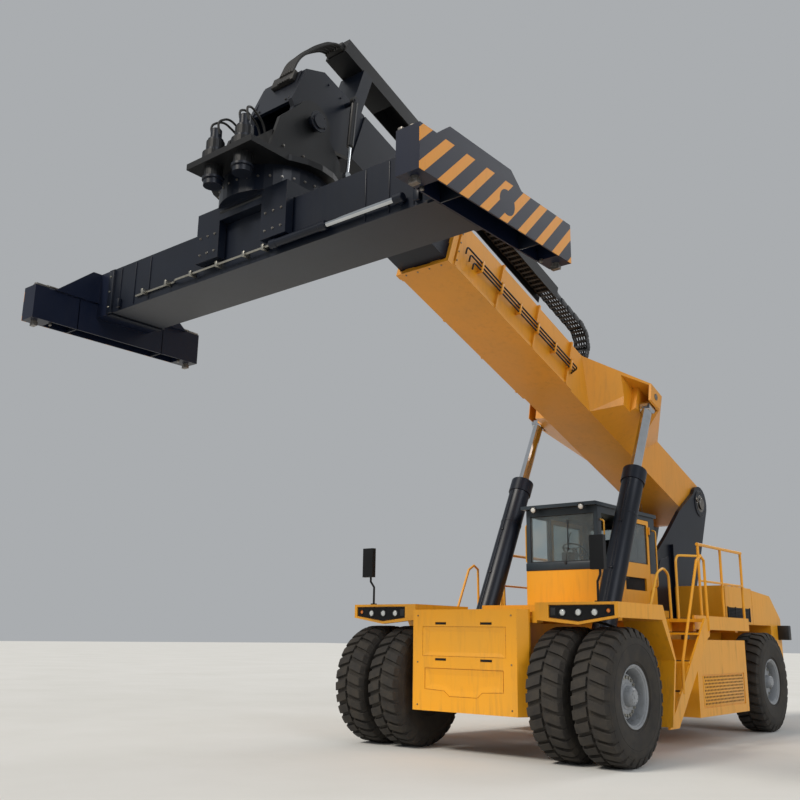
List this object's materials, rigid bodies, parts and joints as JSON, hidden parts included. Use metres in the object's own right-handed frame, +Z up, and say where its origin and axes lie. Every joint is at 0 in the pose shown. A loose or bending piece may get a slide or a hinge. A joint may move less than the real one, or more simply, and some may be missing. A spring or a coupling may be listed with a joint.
{
  "type": "reach stacker",
  "caption": "Reach stacker: container lift truck with telescopic boom, lift cylinders, slewing telescopic spreader, side steps and a glazed cab, yellow and dark blue.",
  "frame": {"origin": "middle of the bounding box of the parked machine, on the ground under the wheels", "axes": "+X to the machine's left, +Y to its rear, +Z up; it drives and reaches along -Y"},
  "size_m": [6.1, 13.139, 8.6267],
  "materials": {
    "yellow paint": "semi-gloss, worn",
    "dark blue paint": "semi-gloss, worn",
    "black paint": "satin",
    "slate paint": "satin",
    "silver paint": "satin",
    "polished rod": "polished",
    "cast steel": "as cast, oily",
    "tyre rubber": "matte",
    "window glass": "clear",
    "seat vinyl": "matte",
    "black plastic": "matte"
  },
  "bodies": {
    "chassis": {"chassis_frame": "yellow paint", "front_axle": "cast steel", "steer_axle": "cast steel", "front_nose": "yellow paint", "fender_left": "yellow paint", "fender_right": "yellow paint", "side_box_left": "yellow paint", "side_box_right": "yellow paint", "platform_left": "yellow paint", "platform_right": "yellow paint", "mirror_left": "black paint", "mirror_right": "black paint", "engine_block": "cast steel", "engine_hood": "yellow paint", "counterweight": "yellow paint", "boom_tower": "dark blue paint", "cab_base": "yellow paint", "cab_shell": "slate paint", "windscreen": "window glass", "rear_window": "window glass", "driver_seat": "seat vinyl", "steering_console": "black plastic"},
    "front_wheels_left": {"front_left_hub": "silver paint", "front_left_outer_tyre": "tyre rubber", "front_left_inner_tyre": "tyre rubber"},
    "front_wheels_right": {"front_right_hub": "silver paint", "front_right_outer_tyre": "tyre rubber", "front_right_inner_tyre": "tyre rubber"},
    "knuckle_left": {"steering_knuckle_left": "cast steel"},
    "knuckle_right": {"steering_knuckle_right": "cast steel"},
    "rear_wheel_left": {"rear_left_hub": "silver paint", "rear_left_tyre": "tyre rubber"},
    "rear_wheel_right": {"rear_right_hub": "silver paint", "rear_right_tyre": "tyre rubber"},
    "door_left": {"cab_door_left": "yellow paint", "cab_door_left_glass": "window glass"},
    "door_right": {"cab_door_right": "yellow paint", "cab_door_right_glass": "window glass"},
    "boom": {"outer_boom": "yellow paint"},
    "boom_extension": {"inner_boom": "dark blue paint", "boom_head": "dark blue paint", "chain_channel": "black paint"},
    "hose_chain": {"energy_chain": "black plastic"},
    "cylinder_left": {"lift_cylinder_left": "dark blue paint"},
    "cylinder_right": {"lift_cylinder_right": "dark blue paint"},
    "rod_left": {"lift_rod_left": "polished rod"},
    "rod_right": {"lift_rod_right": "polished rod"},
    "head": {"head_frame": "black paint"},
    "damper_left": {"damper_barrel_left": "black paint"},
    "damper_right": {"damper_barrel_right": "black paint"},
    "damper_stem_left": {"damper_rod_left": "polished rod"},
    "damper_stem_right": {"damper_rod_right": "polished rod"},
    "slewing_frame": {"side_shift_frame": "dark blue paint"},
    "spreader": {"spreader_beam": "dark blue paint"},
    "spreader_left": {"end_beam_left": "dark blue paint"},
    "spreader_right": {"end_beam_right": "dark blue paint"},
    "lock_left_front": {"twistlock_left_front": "cast steel"},
    "lock_left_rear": {"twistlock_left_rear": "cast steel"},
    "lock_right_front": {"twistlock_right_front": "cast steel"},
    "lock_right_rear": {"twistlock_right_rear": "cast steel"}
  },
  "joints": [
    {"name": "boom_lift", "type": "hinge", "parent": "chassis", "child": "boom", "pos_m": [0, 5.3495, 3.99], "axis": [-1, 0, 0], "range_deg": [-18.86, 35.5]},
    {"name": "boom_extend", "type": "slide", "parent": "boom", "child": "boom_extension", "axis": [0, 0.9463, -0.3233], "range_m": [-5.5, 1.2]},
    {"name": "hose_chain_run", "type": "slide", "parent": "boom", "child": "hose_chain", "axis": [0, 0.9463, -0.3233], "range_m": [-2.76, 0.61]},
    {"name": "lift_cylinder_swing_left", "type": "hinge", "parent": "chassis", "child": "cylinder_left", "pos_m": [1.02, -0.1155, 0.96], "axis": [-1, 0, 0], "range_deg": [-0.39, 0.72]},
    {"name": "lift_rod_slide_left", "type": "slide", "parent": "cylinder_left", "child": "rod_left", "axis": [0, 0.4589, 0.8885], "range_m": [-1.11162, 2.0923]},
    {"name": "lift_cylinder_swing_right", "type": "hinge", "parent": "chassis", "child": "cylinder_right", "pos_m": [-1.02, -0.1155, 0.96], "axis": [-1, 0, 0], "range_deg": [-0.39, 0.72]},
    {"name": "lift_rod_slide_right", "type": "slide", "parent": "cylinder_right", "child": "rod_right", "axis": [0, 0.4589, 0.8885], "range_m": [-1.11162, 2.0923]},
    {"name": "head_level", "type": "hinge", "parent": "boom_extension", "child": "head", "pos_m": [0, -5.20239, 7.09783], "axis": [1, 0, 0], "range_deg": [-18.91, 35.55]},
    {"name": "damper_swing_left", "type": "hinge", "parent": "boom_extension", "child": "damper_left", "pos_m": [0.5, -4.61328, 7.64687], "axis": [1, 0, 0], "range_deg": [-7.39, 13.9]},
    {"name": "damper_rod_slide_left", "type": "slide", "parent": "damper_left", "child": "damper_stem_left", "axis": [0, -0.0943, -0.9955], "range_m": [-0.34994, 0.18596]},
    {"name": "damper_swing_right", "type": "hinge", "parent": "boom_extension", "child": "damper_right", "pos_m": [-0.5, -4.61328, 7.64687], "axis": [1, 0, 0], "range_deg": [-7.39, 13.9]},
    {"name": "damper_rod_slide_right", "type": "slide", "parent": "damper_right", "child": "damper_stem_right", "axis": [0, -0.0943, -0.9955], "range_m": [-0.34994, 0.18596]},
    {"name": "slew", "type": "hinge", "parent": "head", "child": "slewing_frame", "pos_m": [0, -5.3445, 6.34], "axis": [0, 0, 1], "range_deg": [-105, 195]},
    {"name": "side_shift", "type": "slide", "parent": "slewing_frame", "child": "spreader", "axis": [1, 0, 0], "range_m": [-0.8, 0.8]},
    {"name": "spread_left", "type": "slide", "parent": "spreader", "child": "spreader_left", "axis": [1, 0, 0], "range_m": [0, 3.05]},
    {"name": "spread_right", "type": "slide", "parent": "spreader", "child": "spreader_right", "axis": [-1, 0, 0], "range_m": [0, 3.06]},
    {"name": "twistlock_left_front_turn", "type": "hinge", "parent": "spreader_left", "child": "lock_left_front", "pos_m": [2.9265, -6.474, 5.2], "axis": [0, 0, 1], "range_deg": [0, 90]},
    {"name": "twistlock_left_rear_turn", "type": "hinge", "parent": "spreader_left", "child": "lock_left_rear", "pos_m": [2.9265, -4.215, 5.2], "axis": [0, 0, 1], "range_deg": [0, 90.2]},
    {"name": "twistlock_right_front_turn", "type": "hinge", "parent": "spreader_right", "child": "lock_right_front", "pos_m": [-2.9265, -6.474, 5.2], "axis": [0, 0, 1], "range_deg": [0, 90.2]},
    {"name": "twistlock_right_rear_turn", "type": "hinge", "parent": "spreader_right", "child": "lock_right_rear", "pos_m": [-2.9265, -4.215, 5.2], "axis": [0, 0, 1], "range_deg": [0, 90.2]},
    {"name": "steering_left", "type": "hinge", "parent": "chassis", "child": "knuckle_left", "pos_m": [1.08, 4.8995, 0.808], "axis": [0, 0, 1], "range_deg": [-45, 45]},
    {"name": "steering_right", "type": "hinge", "parent": "chassis", "child": "knuckle_right", "pos_m": [-1.08, 4.8995, 0.808], "axis": [0, 0, 1], "range_deg": [-45.1, 45.1]},
    {"name": "front_wheels_left_spin", "type": "hinge", "parent": "chassis", "child": "front_wheels_left", "pos_m": [0, -1.1005, 0.808], "axis": [1, 0, 0], "continuous": true},
    {"name": "rear_wheel_left_spin", "type": "hinge", "parent": "knuckle_left", "child": "rear_wheel_left", "pos_m": [1.08, 4.8995, 0.808], "axis": [1, 0, 0], "continuous": true},
    {"name": "front_wheels_right_spin", "type": "hinge", "parent": "chassis", "child": "front_wheels_right", "pos_m": [0, -1.1005, 0.808], "axis": [1, 0, 0], "continuous": true},
    {"name": "rear_wheel_right_spin", "type": "hinge", "parent": "knuckle_right", "child": "rear_wheel_right", "pos_m": [-1.08, 4.8995, 0.808], "axis": [1, 0, 0], "continuous": true},
    {"name": "door_left_swing", "type": "hinge", "parent": "chassis", "child": "door_left", "pos_m": [0.642, 2.6795, 2.7], "axis": [0, 0, 1], "range_deg": [0, 85]},
    {"name": "door_right_swing", "type": "hinge", "parent": "chassis", "child": "door_right", "pos_m": [-0.642, 2.6795, 2.7], "axis": [0, 0, -1], "range_deg": [0, 85]}
  ],
  "couplings": [
    {"joint": "hose_chain_run", "follows": "boom_extend", "ratio": 0.5},
    {"joint": "lift_cylinder_swing_left", "follows": "boom_lift", "ratio": 0.02},
    {"joint": "lift_rod_slide_left", "follows": "boom_lift", "m_per_rad": 3.37},
    {"joint": "lift_cylinder_swing_right", "follows": "boom_lift", "ratio": 0.02},
    {"joint": "lift_rod_slide_right", "follows": "boom_lift", "m_per_rad": 3.37},
    {"joint": "head_level", "follows": "boom_lift", "ratio": 1},
    {"joint": "damper_swing_left", "follows": "boom_lift", "ratio": 0.3905},
    {"joint": "damper_rod_slide_left", "follows": "boom_lift", "m_per_rad": -0.5635},
    {"joint": "damper_swing_right", "follows": "boom_lift", "ratio": 0.3905},
    {"joint": "damper_rod_slide_right", "follows": "boom_lift", "m_per_rad": -0.5635},
    {"joint": "spread_right", "follows": "spread_left", "ratio": 1},
    {"joint": "twistlock_left_rear_turn", "follows": "twistlock_left_front_turn", "ratio": 1},
    {"joint": "twistlock_right_front_turn", "follows": "twistlock_left_front_turn", "ratio": 1},
    {"joint": "twistlock_right_rear_turn", "follows": "twistlock_left_front_turn", "ratio": 1},
    {"joint": "steering_right", "follows": "steering_left", "ratio": 1}
  ]
}
